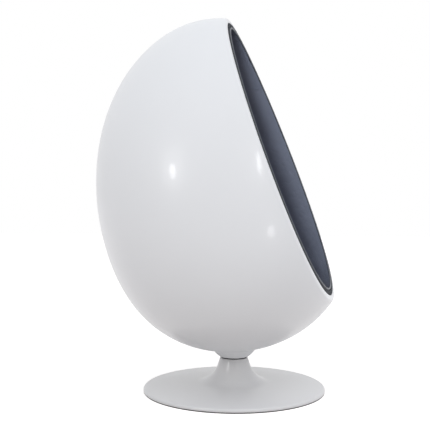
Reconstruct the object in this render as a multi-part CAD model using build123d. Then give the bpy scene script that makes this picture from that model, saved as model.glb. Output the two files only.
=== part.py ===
from build123d import *
from functools import lru_cache
from math import cos, hypot, pi, radians, sin, sqrt
import os

# Pod chair: an egg-shaped shell with one flat, leaning opening, padded inside, that turns on a
# trumpet-shaped floor base. Millimetres. The origin is on the floor under the swivel axis, +Z is
# up, the opening faces -Y and X runs across the chair.

# Egg, given by its lower pole and the outline's terms
POLE_Y = -38.2
POLE_HEIGHT = 135.3
POD_LEAN = 6.65              # degrees that the long axis leans back
POD_HALF_LENGTH = 548.0
POD_HALF_DEPTH = 429.0
OUTLINE_LOW_BELLY = 0.032
OUTLINE_FULLNESS = 0.059
OUTLINE_TIP = -0.061
SIDE_BELLY = 0.144           # how much wider than deep the low sections are
EGG_STATIONS = 14

# Opening
OPENING_LEAN = 20.49         # degrees from upright
OPENING_DISTANCE = 201.1     # from the egg's centre

# Shell
SHELL_WALL = 6.0
LIP_WIDTH = 14.0
LIP_DEPTH = 6.0
LIP_ROUND = 4.5

# Boss under the shell, and the land inside it
BOSS_BOTTOM = 110.0
BOSS_BOTTOM_RADIUS = 45.2
BOSS_WAIST_RADIUS = 59.5
BOSS_WAIST_HEIGHT = 120.5
BOSS_TOP_RADIUS = 75.5
BOSS_TOP_HEIGHT = 142.0
BOSS_ROUND = 2.0
LAND_HEIGHT = 151.0

# Rim dressing: tack strip behind the lip, trim band, welt
FIT_GAP = 0.3
TRIM_RISE = 2.0
TRIM_WIDTH = 12.5
TRIM_DEPTH = 11.0
TRIM_ROUND = 4.0
WELT_RISE = 3.0
WELT_WIDTH = 6.2
WELT_DEPTH = 6.2
WELT_FLANGE = 1.5

# Lining
LINING_THICKNESS = 20.0
CROWN_SEAM_HEIGHT = 1030.0
BACK_PANEL_HALF_WIDTH = 190.0
SEAM_GAP = 0.6

# Seat board on its bearers
BOARD_TOP = 280.0
BOARD_THICKNESS = 15.0
BOARD_EDGE_GAP = 2.0
BEARER_HEIGHT = 30.0
BEARER_WIDTH = 45.0
BEARER_LENGTH = 220.0
BOARD_SCREW_SPACING = 130.0
BOARD_SCREW_RADIUS = 2.5
BOARD_SCREW_HEAD_RADIUS = 5.0
BOARD_SCREW_LENGTH = 38.0

# Seat cushion
SEAT_FRONT_SETBACK = 14.0    # behind the opening plane
SEAT_CUSHION_HEIGHT = 122.0
SEAT_SIDE_GAP = 3.0
SEAT_CORNER_SHARE = 0.08     # how far back the front corners lie, as a share of the depth
SEAT_SIDE_DRAW = 14.0        # how far the top and bottom seams are drawn in
SEAT_CROWN = 26.0

# Back cushion
BACK_CUSHION_BOTTOM_GAP = 5.0     # above the seat cushion's top where the two meet
BACK_CUSHION_HEIGHT = 450.0
BACK_CUSHION_THICKNESS = 128.0
BACK_CUSHION_SIDE = 42.0
BACK_CORNER_SHARE = 0.12
BACK_CUSHION_GAP = 1.1

# Hook-and-loop strips
STRIP_THICKNESS = 2.4
STRIP_WIDTH = 40.0
STRIP_LENGTH = 280.0
STRIP_SPACING = 160.0

# Trumpet base
BASE_RADIUS = 300.0
BASE_WALL = 3.0
NECK_TOP = 107.0
NECK_TOP_RADIUS = 46.0
NECK_EDGE_ROUND = 2.0
NECK_MOUTH_RADIUS = 42.0
FLARE_FOOT_RADIUS = 71.0
FLARE_FOOT_HEIGHT = 30.5
FLARE_ROUND = 82.0
RIM_HEIGHT = 13.2
RIM_ROUND = 8.0

# Floor ring and ballast plate
FLOOR_RING_THICKNESS = 3.0
FLOOR_RING_WIDTH = 37.0
FLOOR_RING_SETBACK = 1.0
BALLAST_RADIUS = 275.0
BALLAST_THICKNESS = 6.0

# Column, collar and their screws
COLUMN_RADIUS = 32.0
COLUMN_BORE_RADIUS = 22.0
COLUMN_TOP = 80.0
COLUMN_FLANGE_RADIUS = 60.0
COLUMN_FLANGE_THICKNESS = 10.0
SHELF_RADIUS = 44.0
SHELF_THICKNESS = 6.0
SHELF_TOP = 58.0
COLLAR_TOP = 84.0
COLLAR_SCREW_CIRCLE = 38.0
COLLAR_SCREW_COUNT = 3
COLLAR_SCREW_RADIUS = 2.5
COLLAR_SCREW_HEAD_RADIUS = 4.2
COLLAR_SCREW_HEAD_HEIGHT = 5.0
COLLAR_SCREW_BITE = 14.0
FLANGE_SCREW_CIRCLE = 46.0
FLANGE_SCREW_COUNT = 6
FLANGE_SCREW_RADIUS = 4.0
FLANGE_SCREW_HEAD_RADIUS = 7.6
SCREW_GAP = 0.05

# Swivel: spindle in two bushes, with a ball thrust bearing on the column
SPINDLE_RADIUS = 15.0
SPINDLE_BOTTOM = 16.0
BUSH_RUNNING_GAP = 0.05
BUSH_SEAT_GAP = 0.02
BUSH_LENGTH = 14.0
LOWER_BUSH_BOTTOM = 28.0
RACE_THICKNESS = 5.0
RACE_OUTER_RADIUS = 26.0
RACE_SPACING = 6.0
BALL_RADIUS = 4.0
BALL_CIRCLE = 21.0
BALL_COUNT = 12
BALL_GAP = 0.15
CAGE_THICKNESS = 2.4
CAGE_POCKET_GAP = 0.3
CAGE_SHAFT_GAP = 0.8
LOWER_RACE_SHAFT_GAP = 1.5
WASHER_RADIUS = 20.0
WASHER_THICKNESS = 3.0
AXIAL_GAP = 0.3
RETAINER_RADIUS = 19.0
RETAINER_THICKNESS = 2.5
RETAINER_GROOVE = 1.5

# Hub under the shell, clamp plate inside it, and the bolts through both
HUB_RADIUS = 38.0
SEAL_WIDTH = 3.0
SEAL_INSET = 1.0
CLAMP_RADIUS = 66.0
CLAMP_THICKNESS = 5.0
BOLT_CIRCLE = 27.0
BOLT_COUNT = 4
BOLT_RADIUS = 5.0
BOLT_HOLE_GAP = 0.5
BOLT_HEAD_RADIUS = 9.2
BOLT_HEAD_HEIGHT = 6.4
BOLT_END_GAP = 1.5
BOLT_WASHER_RADIUS = 10.0
BOLT_WASHER_THICKNESS = 2.0

# Sizes that follow from those above
AXIS_Y = sin(radians(POD_LEAN))
AXIS_Z = cos(radians(POD_LEAN))
CENTRE_Y = POLE_Y + POD_HALF_LENGTH * AXIS_Y
CENTRE_Z = POLE_HEIGHT + POD_HALF_LENGTH * AXIS_Z
POD_FRAME = Plane(origin=(0, CENTRE_Y, CENTRE_Z), x_dir=(1, 0, 0), z_dir=(0, AXIS_Y, AXIS_Z))
NORMAL_Y = -cos(radians(OPENING_LEAN))
NORMAL_Z = sin(radians(OPENING_LEAN))
OPENING_FRAME = Plane(
    origin=(0, CENTRE_Y + OPENING_DISTANCE * NORMAL_Y, CENTRE_Z + OPENING_DISTANCE * NORMAL_Z),
    x_dir=(1, 0, 0),
    z_dir=(0, NORMAL_Y, NORMAL_Z),
)
SPAN = 6 * POD_HALF_LENGTH   # large enough for any cutting block

LINING_OUTER = SHELL_WALL + FIT_GAP
LINING_INNER = LINING_OUTER + LINING_THICKNESS
TRIM_OUTER = LIP_WIDTH + FIT_GAP
TRIM_INNER = TRIM_OUTER + TRIM_WIDTH
WELT_OUTER = TRIM_INNER + FIT_GAP
DRESSING_DEPTH = TRIM_DEPTH - TRIM_RISE
BOARD_BOTTOM = BOARD_TOP - BOARD_THICKNESS
BEARER_INNER = LINING_OUTER + BEARER_WIDTH
SEAT_BOTTOM = BOARD_TOP + STRIP_THICKNESS + 2 * FIT_GAP
SEAT_INSET = LINING_INNER + SEAT_SIDE_GAP
SEAT_TOP = SEAT_BOTTOM + SEAT_CUSHION_HEIGHT
BACK_BOTTOM = SEAT_TOP - SEAT_CROWN / 2 + BACK_CUSHION_BOTTOM_GAP
BACK_INSET = LINING_INNER + STRIP_THICKNESS + BACK_CUSHION_GAP
PLATE_BOTTOM = FLOOR_RING_THICKNESS
PLATE_TOP = PLATE_BOTTOM + BALLAST_THICKNESS
LOWER_RACE_TOP = COLUMN_TOP + RACE_THICKNESS
BALL_HEIGHT = LOWER_RACE_TOP + RACE_SPACING / 2
UPPER_RACE_BOTTOM = LOWER_RACE_TOP + RACE_SPACING
HUB_BOTTOM = UPPER_RACE_BOTTOM + RACE_THICKNESS
CLAMP_TOP = LAND_HEIGHT + CLAMP_THICKNESS


# ---- The egg and what is measured in it ---------------------------------------------------------

def half_depth(t):
    """Outline of the egg's middle plane; t runs from 0 at the top pole to pi at the lower one."""
    c = cos(t)
    swell = 1 - OUTLINE_LOW_BELLY * c + OUTLINE_FULLNESS * c**2 + OUTLINE_TIP * c**3
    return POD_HALF_DEPTH * sin(t) * swell


def half_width(t):
    return half_depth(t) * (1 - SIDE_BELLY * cos(t))


def outline_point(outline, t, inset):
    """Height along the axis and radius of an outline moved inwards by inset."""
    step = 1e-4
    slope_a = -POD_HALF_LENGTH * sin(t)
    slope_r = (outline(t + step) - outline(t - step)) / (2 * step)
    length = hypot(slope_a, slope_r)
    return (
        POD_HALF_LENGTH * cos(t) - inset * slope_r / length,
        outline(t) + inset * slope_a / length,
    )


def radius_at(outline, height, inset):
    """Radius of the moved outline at one height along the axis."""
    low, high = 0.0, pi
    for _ in range(50):
        middle = (low + high) / 2
        if outline_point(outline, middle, inset)[0] > height:
            low = middle
        else:
            high = middle
    return outline_point(outline, (low + high) / 2, inset)[1]


@lru_cache(maxsize=None)
def egg(inset):
    """Solid egg, drawn in by inset from the shell's outer face."""
    tip = POD_HALF_LENGTH - inset
    rings = []
    for i in range(1, EGG_STATIONS):
        height, depth = outline_point(half_depth, pi * i / EGG_STATIONS, inset)
        width = radius_at(half_width, height, inset)
        rings.append((Plane((0, 0, height)) * Ellipse(width, depth)).face().outer_wire())
    return POD_FRAME.location * Solid.make_loft([Vertex(0, 0, tip), *rings, Vertex(0, 0, -tip)])


def room_half_width(y, z, inset):
    """Half the clear width at a point of the middle plane, 0 outside the drawn-in egg."""
    along = (y - CENTRE_Y) * AXIS_Y + (z - CENTRE_Z) * AXIS_Z
    across = (y - CENTRE_Y) * AXIS_Z - (z - CENTRE_Z) * AXIS_Y
    if abs(along) >= POD_HALF_LENGTH - inset:
        return 0.0
    share = across / radius_at(half_depth, along, inset)
    if abs(share) >= 1:
        return 0.0
    return radius_at(half_width, along, inset) * sqrt(1 - share**2)


def room_end(z, inset, direction):
    """Y of the drawn-in egg's wall in the middle plane at height z; direction 1 is the back."""
    near, far = CENTRE_Y, CENTRE_Y + direction * POD_HALF_DEPTH
    for _ in range(40):
        middle = (near + far) / 2
        if room_half_width(middle, z, inset) > 0:
            near = middle
        else:
            far = middle
    return near


def opening_y(z, depth):
    """Y of the plane that lies depth behind the opening, at height z."""
    distance = OPENING_DISTANCE - depth
    return CENTRE_Y + (distance - NORMAL_Z * (z - CENTRE_Z)) / NORMAL_Y


def behind_opening(depth):
    return OPENING_FRAME.location * Pos(0, 0, -depth - SPAN / 2) * Box(SPAN, SPAN, SPAN)


def opening_slab(front, back):
    return OPENING_FRAME.location * Pos(0, 0, -(front + back) / 2) * Box(SPAN, SPAN, back - front)


def level_slab(bottom, top):
    return Pos(0, 0, (bottom + top) / 2) * Box(SPAN, SPAN, top - bottom)


def block(low, high):
    size = [b - a for a, b in zip(low, high)]
    middle = [(a + b) / 2 for a, b in zip(low, high)]
    return Pos(*middle) * Box(*size)


# ---- Turned pieces -------------------------------------------------------------------------------

def turned(*points):
    """Solid turned about the swivel axis from (radius, height) points."""
    return revolve(Plane.XZ * make_face(Polyline(*points, close=True)), Axis.Z)


def ring(inner, outer, bottom, top):
    return turned((inner, bottom), (outer, bottom), (outer, top), (inner, top))


def disc(radius, bottom, top):
    return Pos(0, 0, (bottom + top) / 2) * Cylinder(radius, top - bottom)


def around(shape, circle, count, turn=0.0):
    """Copies of one shape, set on a circle about the swivel axis."""
    return [Rot(0, 0, turn + 360 * i / count) * Pos(circle, 0, 0) * shape for i in range(count)]


def round_corner(face, corner, radius):
    vertex = face.vertices().sort_by_distance((corner[0], corner[1], 0))[0]
    return fillet(vertex, radius)


def trumpet_section(inset):
    """Half section of the space under the base's outer face, drawn in by inset."""
    top = (NECK_TOP_RADIUS, NECK_TOP)
    foot = (FLARE_FOOT_RADIUS, FLARE_FOOT_HEIGHT)
    rim = (BASE_RADIUS, RIM_HEIGHT)
    below = -BASE_RADIUS
    outline = Polyline(
        (below, NECK_TOP), top, foot, rim, (BASE_RADIUS, below), (below, below), close=True
    )
    face = make_face(outline)
    face = round_corner(face, top, NECK_EDGE_ROUND)
    face = round_corner(face, foot, FLARE_ROUND)
    face = round_corner(face, rim, RIM_ROUND)
    if inset:
        face = offset(face, amount=-inset, kind=Kind.INTERSECTION)
    return face


def trumpet_space(inset, bottom, top):
    """Solid under the base's outer face, drawn in by inset, between two heights."""
    window = Pos(BASE_RADIUS, (bottom + top) / 2) * Rectangle(2 * BASE_RADIUS, top - bottom)
    return revolve(Plane.XZ * (trumpet_section(inset) & window), Axis.Z)


def base_trumpet():
    body = trumpet_space(0, FLOOR_RING_THICKNESS, NECK_TOP)
    hollow = trumpet_space(BASE_WALL, 0, NECK_TOP)
    mouth = disc(NECK_MOUTH_RADIUS, NECK_TOP - 2 * BASE_WALL, NECK_TOP + BASE_WALL)
    return body - hollow - mouth


def floor_ring():
    outer = BASE_RADIUS - FLOOR_RING_SETBACK
    return ring(outer - FLOOR_RING_WIDTH, outer, 0, FLOOR_RING_THICKNESS)


def countersunk_screw(radius, head_radius, length):
    """Screw along +Z with its head's flat face at 0."""
    head = head_radius - radius
    outline = Polyline((0, 0), (head_radius, 0), (radius, head), (radius, length), (0, length), close=True)
    return revolve(Plane.XZ * make_face(outline), Axis.Z)


def flange_screw(gap):
    length = BALLAST_THICKNESS + COLUMN_FLANGE_THICKNESS - 1 + gap
    screw = countersunk_screw(FLANGE_SCREW_RADIUS + gap, FLANGE_SCREW_HEAD_RADIUS + gap, length)
    return Pos(0, 0, PLATE_BOTTOM) * screw


def ballast_plate():
    plate = disc(BALLAST_RADIUS, PLATE_BOTTOM, PLATE_TOP)
    return plate - around(flange_screw(SCREW_GAP), FLANGE_SCREW_CIRCLE, FLANGE_SCREW_COUNT)


def collar_screw(gap):
    shelf_bottom = SHELF_TOP - SHELF_THICKNESS
    shank_top = SHELF_TOP + COLLAR_SCREW_BITE + gap
    shank = disc(COLLAR_SCREW_RADIUS + gap, shelf_bottom, shank_top)
    head = disc(COLLAR_SCREW_HEAD_RADIUS, shelf_bottom - COLLAR_SCREW_HEAD_HEIGHT, shelf_bottom)
    return shank + head


def column():
    shelf_bottom = SHELF_TOP - SHELF_THICKNESS
    flange_top = PLATE_TOP + COLUMN_FLANGE_THICKNESS
    body = turned(
        (COLUMN_BORE_RADIUS, PLATE_TOP),
        (COLUMN_FLANGE_RADIUS, PLATE_TOP),
        (COLUMN_FLANGE_RADIUS, flange_top),
        (COLUMN_RADIUS, flange_top),
        (COLUMN_RADIUS, shelf_bottom),
        (SHELF_RADIUS, shelf_bottom),
        (SHELF_RADIUS, SHELF_TOP),
        (COLUMN_RADIUS, SHELF_TOP),
        (COLUMN_RADIUS, COLUMN_TOP),
        (COLUMN_BORE_RADIUS, COLUMN_TOP),
    )
    body -= around(flange_screw(SCREW_GAP), FLANGE_SCREW_CIRCLE, FLANGE_SCREW_COUNT)
    return body - around(collar_screw(SCREW_GAP), COLLAR_SCREW_CIRCLE, COLLAR_SCREW_COUNT, 90)


def neck_collar():
    cone = trumpet_space(BASE_WALL + FIT_GAP, SHELF_TOP, COLLAR_TOP)
    cone -= disc(COLUMN_RADIUS + SCREW_GAP, 0, NECK_TOP)
    return cone - around(collar_screw(SCREW_GAP), COLLAR_SCREW_CIRCLE, COLLAR_SCREW_COUNT, 90)


def bush(bottom):
    return ring(
        SPINDLE_RADIUS + BUSH_RUNNING_GAP, COLUMN_BORE_RADIUS - BUSH_SEAT_GAP, bottom, bottom + BUSH_LENGTH
    )


def ball_track():
    return Pos(0, 0, BALL_HEIGHT) * Torus(BALL_CIRCLE, BALL_RADIUS + BALL_GAP)


def lower_race():
    inner = SPINDLE_RADIUS + LOWER_RACE_SHAFT_GAP
    return ring(inner, RACE_OUTER_RADIUS, COLUMN_TOP, LOWER_RACE_TOP) - ball_track()


def upper_race():
    inner = SPINDLE_RADIUS + SCREW_GAP
    return ring(inner, RACE_OUTER_RADIUS, UPPER_RACE_BOTTOM, HUB_BOTTOM) - ball_track()


def bearing_cage():
    bottom = BALL_HEIGHT - CAGE_THICKNESS / 2
    cage = ring(SPINDLE_RADIUS + CAGE_SHAFT_GAP, RACE_OUTER_RADIUS, bottom, bottom + CAGE_THICKNESS)
    pocket = disc(BALL_RADIUS + CAGE_POCKET_GAP, bottom - 1, bottom + CAGE_THICKNESS + 1)
    return cage - around(pocket, BALL_CIRCLE, BALL_COUNT)


def bearing_balls():
    return Compound(children=around(Pos(0, 0, BALL_HEIGHT) * Sphere(BALL_RADIUS), BALL_CIRCLE, BALL_COUNT))


# ---- Pod: hub, spindle and fasteners --------------------------------------------------------------

def retainer_top():
    return LOWER_BUSH_BOTTOM - AXIAL_GAP - WASHER_THICKNESS


def spindle():
    groove_top = retainer_top()
    groove_bottom = groove_top - RETAINER_THICKNESS
    shaft = disc(SPINDLE_RADIUS, SPINDLE_BOTTOM, BOSS_BOTTOM)
    groove = ring(SPINDLE_RADIUS - RETAINER_GROOVE, SPINDLE_RADIUS + 1, groove_bottom, groove_top)
    return shaft - groove


def spindle_washer():
    return ring(SPINDLE_RADIUS + SCREW_GAP, WASHER_RADIUS, retainer_top(), retainer_top() + WASHER_THICKNESS)


def retaining_ring():
    """Split ring that snaps into the spindle's groove."""
    top = retainer_top()
    inner = SPINDLE_RADIUS - RETAINER_GROOVE + SCREW_GAP
    body = ring(inner, RETAINER_RADIUS, top - RETAINER_THICKNESS, top)
    gap = block((-RETAINER_GROOVE, 0, 0), (RETAINER_GROOVE, 2 * RETAINER_RADIUS, top + 1))
    return body - gap


def hub_plate():
    plate = ring(SPINDLE_RADIUS + SCREW_GAP, HUB_RADIUS, HUB_BOTTOM, BOSS_BOTTOM)
    thread = disc(BOLT_RADIUS + SCREW_GAP, HUB_BOTTOM - 1, BOSS_BOTTOM + 1)
    return plate - around(thread, BOLT_CIRCLE, BOLT_COUNT, 45)


def neck_seal():
    inner = HUB_RADIUS + SCREW_GAP
    return ring(inner, HUB_RADIUS + SEAL_WIDTH, HUB_BOTTOM + SEAL_INSET, BOSS_BOTTOM - FIT_GAP)


def bolt_hole(bottom, top):
    return disc(BOLT_RADIUS + BOLT_HOLE_GAP, bottom, top)


def clamp_plate():
    plate = disc(CLAMP_RADIUS, LAND_HEIGHT, CLAMP_TOP)
    return plate - around(bolt_hole(LAND_HEIGHT - 1, CLAMP_TOP + 1), BOLT_CIRCLE, BOLT_COUNT, 45)


def bolt_washers():
    washer = ring(BOLT_RADIUS + BOLT_HOLE_GAP, BOLT_WASHER_RADIUS, CLAMP_TOP, CLAMP_TOP + BOLT_WASHER_THICKNESS)
    return Compound(children=around(washer, BOLT_CIRCLE, BOLT_COUNT, 45))


def mounting_bolts():
    under_head = CLAMP_TOP + BOLT_WASHER_THICKNESS
    shank = disc(BOLT_RADIUS, HUB_BOTTOM + BOLT_END_GAP, under_head)
    head = Pos(0, 0, under_head) * extrude(RegularPolygon(BOLT_HEAD_RADIUS, 6), BOLT_HEAD_HEIGHT)
    return Compound(children=around(shank + head, BOLT_CIRCLE, BOLT_COUNT, 45))


# ---- Pod: shell and what lines it -----------------------------------------------------------------

def boss():
    """Bowl under the shell with a flat land inside for the clamp plate."""
    edge = [
        Line((0, BOSS_BOTTOM), (BOSS_BOTTOM_RADIUS, BOSS_BOTTOM)),
        ThreePointArc(
            (BOSS_BOTTOM_RADIUS, BOSS_BOTTOM),
            (BOSS_WAIST_RADIUS, BOSS_WAIST_HEIGHT),
            (BOSS_TOP_RADIUS, BOSS_TOP_HEIGHT),
        ),
        Line((BOSS_TOP_RADIUS, BOSS_TOP_HEIGHT), (BOSS_TOP_RADIUS, LAND_HEIGHT)),
        Line((BOSS_TOP_RADIUS, LAND_HEIGHT), (0, LAND_HEIGHT)),
        Line((0, LAND_HEIGHT), (0, BOSS_BOTTOM)),
    ]
    face = make_face(edge)
    face = round_corner(face, (BOSS_BOTTOM_RADIUS, BOSS_BOTTOM), BOSS_ROUND)
    return revolve(Plane.XZ * face, Axis.Z)


def outer_shell():
    body = (egg(0) & behind_opening(0)) + boss()
    land = disc(BOSS_TOP_RADIUS, BOSS_BOTTOM, LAND_HEIGHT)
    cavity = (egg(SHELL_WALL) & behind_opening(LIP_DEPTH)) - land
    mouth = egg(LIP_WIDTH) & opening_slab(-LIP_DEPTH, LIP_DEPTH + 1)
    shell = body - cavity - mouth
    shell -= around(bolt_hole(BOSS_BOTTOM - 1, LAND_HEIGHT + 1), BOLT_CIRCLE, BOLT_COUNT, 45)
    return fillet(rim_edges(shell, 0).sort_by(SortBy.LENGTH)[-1], LIP_ROUND)


def rim_ring(outer, inner, front, back):
    """Band that follows the opening between two insets and two depths behind it."""
    return (egg(outer) - egg(inner)) & opening_slab(front, back)


def rim_edges(shape, depth):
    """Edges that lie in the plane at one depth behind the opening."""
    return shape.edges().filter_by(lambda e: abs(OPENING_FRAME.to_local_coords(e @ 0.3).Z + depth) < 1e-3)


def rim_trim():
    """Wrapped band inside the lip, with its two front edges rounded."""
    band = rim_ring(TRIM_OUTER, TRIM_INNER, -TRIM_RISE, DRESSING_DEPTH)
    return fillet(rim_edges(band, -TRIM_RISE), TRIM_ROUND)


def rim_welt():
    """Piping along the band's inner edge, with its sewn flange against the band."""
    back = WELT_DEPTH - WELT_RISE
    cord = rim_ring(WELT_OUTER, WELT_OUTER + WELT_WIDTH, -WELT_RISE, back)
    cord = fillet(rim_edges(cord, -WELT_RISE), WELT_WIDTH * 0.4)
    return cord + rim_ring(WELT_OUTER, WELT_OUTER + WELT_FLANGE, 0, DRESSING_DEPTH)


def lining():
    """The whole padded lining, before it is divided at its seams."""
    cup = (egg(LINING_OUTER) - egg(LINING_INNER)) & behind_opening(DRESSING_DEPTH + FIT_GAP)
    return cup & level_slab(BOARD_TOP + FIT_GAP, SPAN / 2)


def lining_panels():
    whole = lining()
    half_gap = SEAM_GAP / 2
    seam = CROWN_SEAM_HEIGHT
    below = level_slab(0, seam - half_gap)
    side = BACK_PANEL_HALF_WIDTH
    back_zone = block((-side, 0, 0), (side, SPAN / 2, SPAN / 2))
    back_keep = block((-side - SEAM_GAP, 0, 0), (side + SEAM_GAP, SPAN / 2, SPAN / 2))
    lower = whole & below
    sides = lower - back_keep
    return {
        "lining_crown": whole & level_slab(seam + half_gap, SPAN / 2),
        "lining_back": lower & back_zone,
        "lining_left": sides & block((-SPAN / 2, -SPAN / 2, 0), (-half_gap, SPAN / 2, SPAN / 2)),
        "lining_right": sides & block((half_gap, -SPAN / 2, 0), (SPAN / 2, SPAN / 2, SPAN / 2)),
    }


def seat_board():
    board = egg(SHELL_WALL + BOARD_EDGE_GAP) & level_slab(BOARD_BOTTOM, BOARD_TOP)
    board &= behind_opening(DRESSING_DEPTH + BOARD_EDGE_GAP)
    return board - board_screw_places(SCREW_GAP)


def bearers():
    """Four wood blocks bonded to the shell under the board's edge."""
    bottom = BOARD_BOTTOM - BEARER_HEIGHT
    band = (egg(LINING_OUTER) - egg(BEARER_INNER)) & level_slab(bottom, BOARD_BOTTOM)
    band -= board_screw_places(SCREW_GAP)
    half = BEARER_LENGTH / 2
    reach = SPAN / 2
    middle = bearer_middle()
    return {
        "bearer_left": band & block((-reach, middle - half, 0), (0, middle + half, reach)),
        "bearer_right": band & block((0, middle - half, 0), (reach, middle + half, reach)),
        "bearer_front": band & block((-half, -reach, 0), (half, middle, reach)),
        "bearer_back": band & block((-half, middle, 0), (half, reach, reach)),
    }


def bearer_middle():
    """Y of the middle of the seat board."""
    return (room_end(BOARD_BOTTOM, LINING_OUTER, -1) + room_end(BOARD_BOTTOM, LINING_OUTER, 1)) / 2


def board_screw_places(gap):
    """Countersunk screws down through the board, two into each bearer."""
    shank, head = BOARD_SCREW_RADIUS + gap, BOARD_SCREW_HEAD_RADIUS + gap
    screw = Rot(180, 0, 0) * countersunk_screw(shank, head, BOARD_SCREW_LENGTH + gap)
    inset = LINING_OUTER + BEARER_WIDTH / 2
    level = BOARD_BOTTOM - BEARER_HEIGHT / 2
    middle = bearer_middle()
    places = []
    for along in (-BOARD_SCREW_SPACING / 2, BOARD_SCREW_SPACING / 2):
        side = room_half_width(middle + along, level, inset)
        places += [(side, middle + along), (-side, middle + along)]
        for direction in (-1, 1):
            places.append((along, row_end(along, level, inset, direction)))
    return [Pos(x, y, BOARD_TOP) * screw for x, y in places]


def row_end(x, z, inset, direction):
    """Y of the drawn-in egg's wall at height z, x away from the middle plane."""
    near, far = CENTRE_Y, room_end(z, inset, direction)
    for _ in range(40):
        middle = (near + far) / 2
        if room_half_width(middle, z, inset) > abs(x):
            near = middle
        else:
            far = middle
    return near


# ---- Pod: cushions and strips ---------------------------------------------------------------------

def seat_outline(z, draw):
    """Rounded D at height z that keeps draw away from the lining and the opening."""
    inset = SEAT_INSET + draw
    front = max(opening_y(z, SEAT_FRONT_SETBACK + draw), room_end(z, inset, -1))
    back = room_end(z, inset, 1)
    corner_y = front + SEAT_CORNER_SHARE * (back - front)
    middle_y = (front + back) / 2
    quarter_y = middle_y + (back - middle_y) * sin(pi / 4)
    corner_x = room_half_width(corner_y, z, inset)
    middle_x = room_half_width(middle_y, z, inset)
    quarter_x = room_half_width(quarter_y, z, inset)
    arcs = [
        ThreePointArc((-corner_x, corner_y), (0, front), (corner_x, corner_y)),
        ThreePointArc((corner_x, corner_y), (middle_x, middle_y), (quarter_x, quarter_y)),
        ThreePointArc((quarter_x, quarter_y), (0, back), (-quarter_x, quarter_y)),
        ThreePointArc((-quarter_x, quarter_y), (-middle_x, middle_y), (-corner_x, corner_y)),
    ]
    return Pos(0, 0, z) * Wire(arcs)


def seat_cushion():
    """Boxed cushion: drawn in at both seams, full between them and crowned on top."""
    side = SEAT_CUSHION_HEIGHT - SEAT_CROWN
    box = [(0.0, 1.0), (0.2, 0.25), (0.5, 0.0), (0.8, 0.25), (1.0, 1.0)]
    crown = [(0.0, 1.0), (0.5, 5.0), (0.85, 9.0), (1.0, 13.0)]
    seam = SEAT_BOTTOM + side
    body = Solid.make_loft([seat_outline(SEAT_BOTTOM + h * side, d * SEAT_SIDE_DRAW) for h, d in box])
    return body + Solid.make_loft([seat_outline(seam + h * SEAT_CROWN, d * SEAT_SIDE_DRAW) for h, d in crown])


def back_outline(z, share):
    """Pad section at height z against the lining; share of the full thickness."""
    back = room_end(z, BACK_INSET, 1)
    front = room_end(z, BACK_INSET, -1)
    corner_y = back - BACK_CORNER_SHARE * (back - front)
    corner_x = room_half_width(corner_y, z, BACK_INSET)
    side = BACK_CUSHION_SIDE * share
    face_y = back - (back - corner_y) * (1 - share) - BACK_CUSHION_THICKNESS * share
    bulge = side / 5
    front_x = corner_x - side / 2
    arcs = [
        ThreePointArc((corner_x, corner_y), (0, back), (-corner_x, corner_y)),
        ThreePointArc(
            (-corner_x, corner_y),
            (-(corner_x + front_x) / 2 - bulge, corner_y - side / 2),
            (-front_x, corner_y - side),
        ),
        ThreePointArc((-front_x, corner_y - side), (0, face_y), (front_x, corner_y - side)),
        ThreePointArc(
            (front_x, corner_y - side),
            ((corner_x + front_x) / 2 + bulge, corner_y - side / 2),
            (corner_x, corner_y),
        ),
    ]
    return Pos(0, 0, z) * Wire(arcs)


def back_cushion():
    """Loose pad that follows the lining, thickest in the middle and drawn in at its ends."""
    profile = [(0.0, 0.45), (0.05, 0.75), (0.2, 0.97), (0.5, 1.0), (0.8, 0.93), (0.95, 0.68), (1.0, 0.40)]
    return Solid.make_loft([back_outline(BACK_BOTTOM + h * BACK_CUSHION_HEIGHT, s) for h, s in profile])


def back_strips():
    """Hook-and-loop strips between the lining and the back cushion."""
    skin = egg(LINING_INNER + FIT_GAP) - egg(LINING_INNER + FIT_GAP + STRIP_THICKNESS)
    bottom = BACK_BOTTOM + (BACK_CUSHION_HEIGHT - STRIP_LENGTH) / 2
    strips = []
    for middle in (-STRIP_SPACING / 2, STRIP_SPACING / 2):
        low = (middle - STRIP_WIDTH / 2, 0, bottom)
        high = (middle + STRIP_WIDTH / 2, SPAN / 2, bottom + STRIP_LENGTH)
        strips.append(skin & block(low, high))
    return Compound(children=strips)


def seat_strips():
    """The same strips between the board and the seat cushion."""
    bottom = BOARD_TOP
    half = STRIP_LENGTH / 2
    middle_y = bearer_middle()
    strips = []
    for middle in (-STRIP_SPACING / 2, STRIP_SPACING / 2):
        low = (middle - STRIP_WIDTH / 2, middle_y - half, bottom)
        high = (middle + STRIP_WIDTH / 2, middle_y + half, bottom + STRIP_THICKNESS)
        strips.append(block(low, high))
    return Compound(children=strips)


# ---- Every piece ----------------------------------------------------------------------------------

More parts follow.
